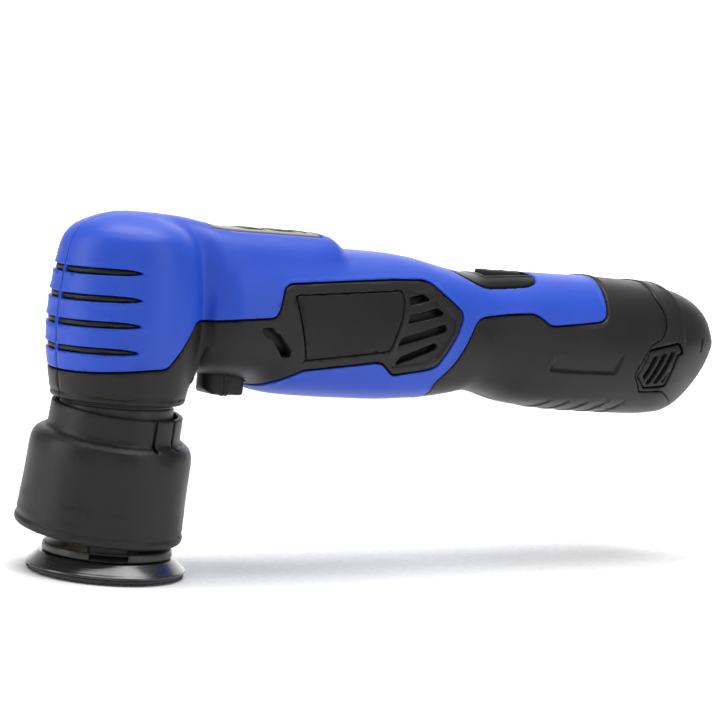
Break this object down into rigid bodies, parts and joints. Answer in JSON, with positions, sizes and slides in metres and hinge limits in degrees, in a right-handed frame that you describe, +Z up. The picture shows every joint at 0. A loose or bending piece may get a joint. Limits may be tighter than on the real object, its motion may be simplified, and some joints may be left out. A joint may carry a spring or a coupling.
{
  "type": "dual action polisher",
  "caption": "Cordless mini dual action polisher: right-angle head with rubber skirt, eccentric spindle and hook-and-loop pad, in-line barrel grip and slide-in battery.",
  "frame": {"origin": "the point where the drive spindle's axis meets the pad's flat working face", "axes": "+Z up along the spindle axis, away from the work; +X along the barrel toward the battery; -Y is the tool's left side"},
  "size_m": [0.2937, 0.0579, 0.117],
  "materials": {
    "charcoal_plastic": "fine matte moulded texture",
    "blue_soft_touch": "satin soft-touch overmould",
    "label_gloss_black": "smooth satin-gloss plate",
    "panel_grey": "silver grey satin film",
    "circuit_board": "solder mask",
    "cast_aluminium": "die cast, light bead blast",
    "steel": "machined and ground",
    "brass": "turned",
    "copper": "wound and turned copper",
    "magnet_ferrite": "sintered ferrite",
    "skirt_rubber": "matte moulded rubber",
    "pad_gloss_black": "polished moulding",
    "hook_fabric": "hook side of hook-and-loop",
    "cell_sleeve": "shrink sleeve"
  },
  "bodies": {
    "housing": {"housing_left": "charcoal_plastic", "housing_right": "charcoal_plastic", "overmould_left": "blue_soft_touch", "overmould_right": "blue_soft_touch", "label_plate_left": "label_gloss_black", "label_plate_right": "label_gloss_black", "housing_screw_1": "steel", "housing_screw_2": "steel", "housing_screw_3": "steel", "housing_screw_4": "steel", "housing_screw_5": "steel", "control_panel": "panel_grey", "panel_indicator": "label_gloss_black", "control_board": "circuit_board", "switch_bezel": "charcoal_plastic", "microswitch": "charcoal_plastic", "terminal_block": "charcoal_plastic", "gear_case": "cast_aluminium", "nose_collar": "cast_aluminium", "spindle_bearing_upper": "steel", "spindle_bearing_lower": "steel", "pinion_bearing": "steel", "shroud": "skirt_rubber", "motor_can": "steel", "motor_end_bell": "charcoal_plastic", "motor_bearing_front": "steel", "motor_bearing_rear": "steel", "motor_magnet_left": "magnet_ferrite", "motor_magnet_right": "magnet_ferrite", "lock_spring": "steel"},
    "spindle": {"spindle_shaft": "steel", "driven_bevel_gear": "steel", "eccentric_hub": "steel", "counterweight": "brass", "pad_bearing": "steel"},
    "pad": {"pad_spindle": "steel", "plate_stud": "steel", "backing_plate": "pad_gloss_black", "backing_pad": "pad_gloss_black", "hook_disc": "hook_fabric"},
    "rotor": {"drive_pinion": "steel", "motor_shaft": "steel", "armature": "copper", "commutator": "copper", "cooling_fan": "charcoal_plastic", "lock_ring": "steel"},
    "switch": {"switch_knob": "charcoal_plastic", "switch_rod": "charcoal_plastic"},
    "lock": {"lock_button": "charcoal_plastic", "lock_pin": "steel"},
    "speed_down": {"speed_down_button": "charcoal_plastic"},
    "speed_up": {"speed_up_button": "charcoal_plastic"},
    "battery": {"battery_case": "charcoal_plastic", "battery_cap": "charcoal_plastic", "battery_cell_1": "cell_sleeve", "battery_cell_2": "cell_sleeve", "battery_cell_3": "cell_sleeve"},
    "release_left": {"release_button_left": "charcoal_plastic"},
    "release_right": {"release_button_right": "charcoal_plastic"}
  },
  "joints": [
    {"name": "spindle_spin", "type": "hinge", "parent": "housing", "child": "spindle", "pos_m": [0, 0, 0.06], "axis": [0, 0, 1], "continuous": true},
    {"name": "motor_spin", "type": "hinge", "parent": "housing", "child": "rotor", "pos_m": [0.05, 0, 0.0853], "axis": [1, 0, 0], "continuous": true},
    {"name": "pad_spin", "type": "hinge", "parent": "spindle", "child": "pad", "pos_m": [0, -0.0015, 0.02], "axis": [0, 0, 1], "continuous": true},
    {"name": "switch_slide", "type": "slide", "parent": "housing", "child": "switch", "axis": [-1, 0, 0], "range_m": [0, 0.004]},
    {"name": "lock_press", "type": "slide", "parent": "housing", "child": "lock", "axis": [0, 0, 1], "range_m": [0, 0.0025], "stiffness_N_per_m": 400, "springref_m": -0.0015, "deforming": ["lock_spring"]},
    {"name": "speed_down_press", "type": "slide", "parent": "housing", "child": "speed_down", "axis": [0, 0, -1], "range_m": [0, 0.0006], "stiffness_N_per_m": 300, "springref_m": -0.001},
    {"name": "speed_up_press", "type": "slide", "parent": "housing", "child": "speed_up", "axis": [0, 0, -1], "range_m": [0, 0.0006], "stiffness_N_per_m": 300, "springref_m": -0.001},
    {"name": "battery_slide", "type": "slide", "parent": "housing", "child": "battery", "axis": [1, 0, 0], "range_m": [0, 0.07]},
    {"name": "release_left_press", "type": "slide", "parent": "battery", "child": "release_left", "axis": [0, 1, 0], "range_m": [0, 0.0015], "stiffness_N_per_m": 300, "springref_m": -0.001},
    {"name": "release_right_press", "type": "slide", "parent": "battery", "child": "release_right", "axis": [0, -1, 0], "range_m": [0, 0.0015], "stiffness_N_per_m": 300, "springref_m": -0.001}
  ],
  "couplings": [
    {"joint": "motor_spin", "follows": "spindle_spin", "ratio": 3}
  ]
}
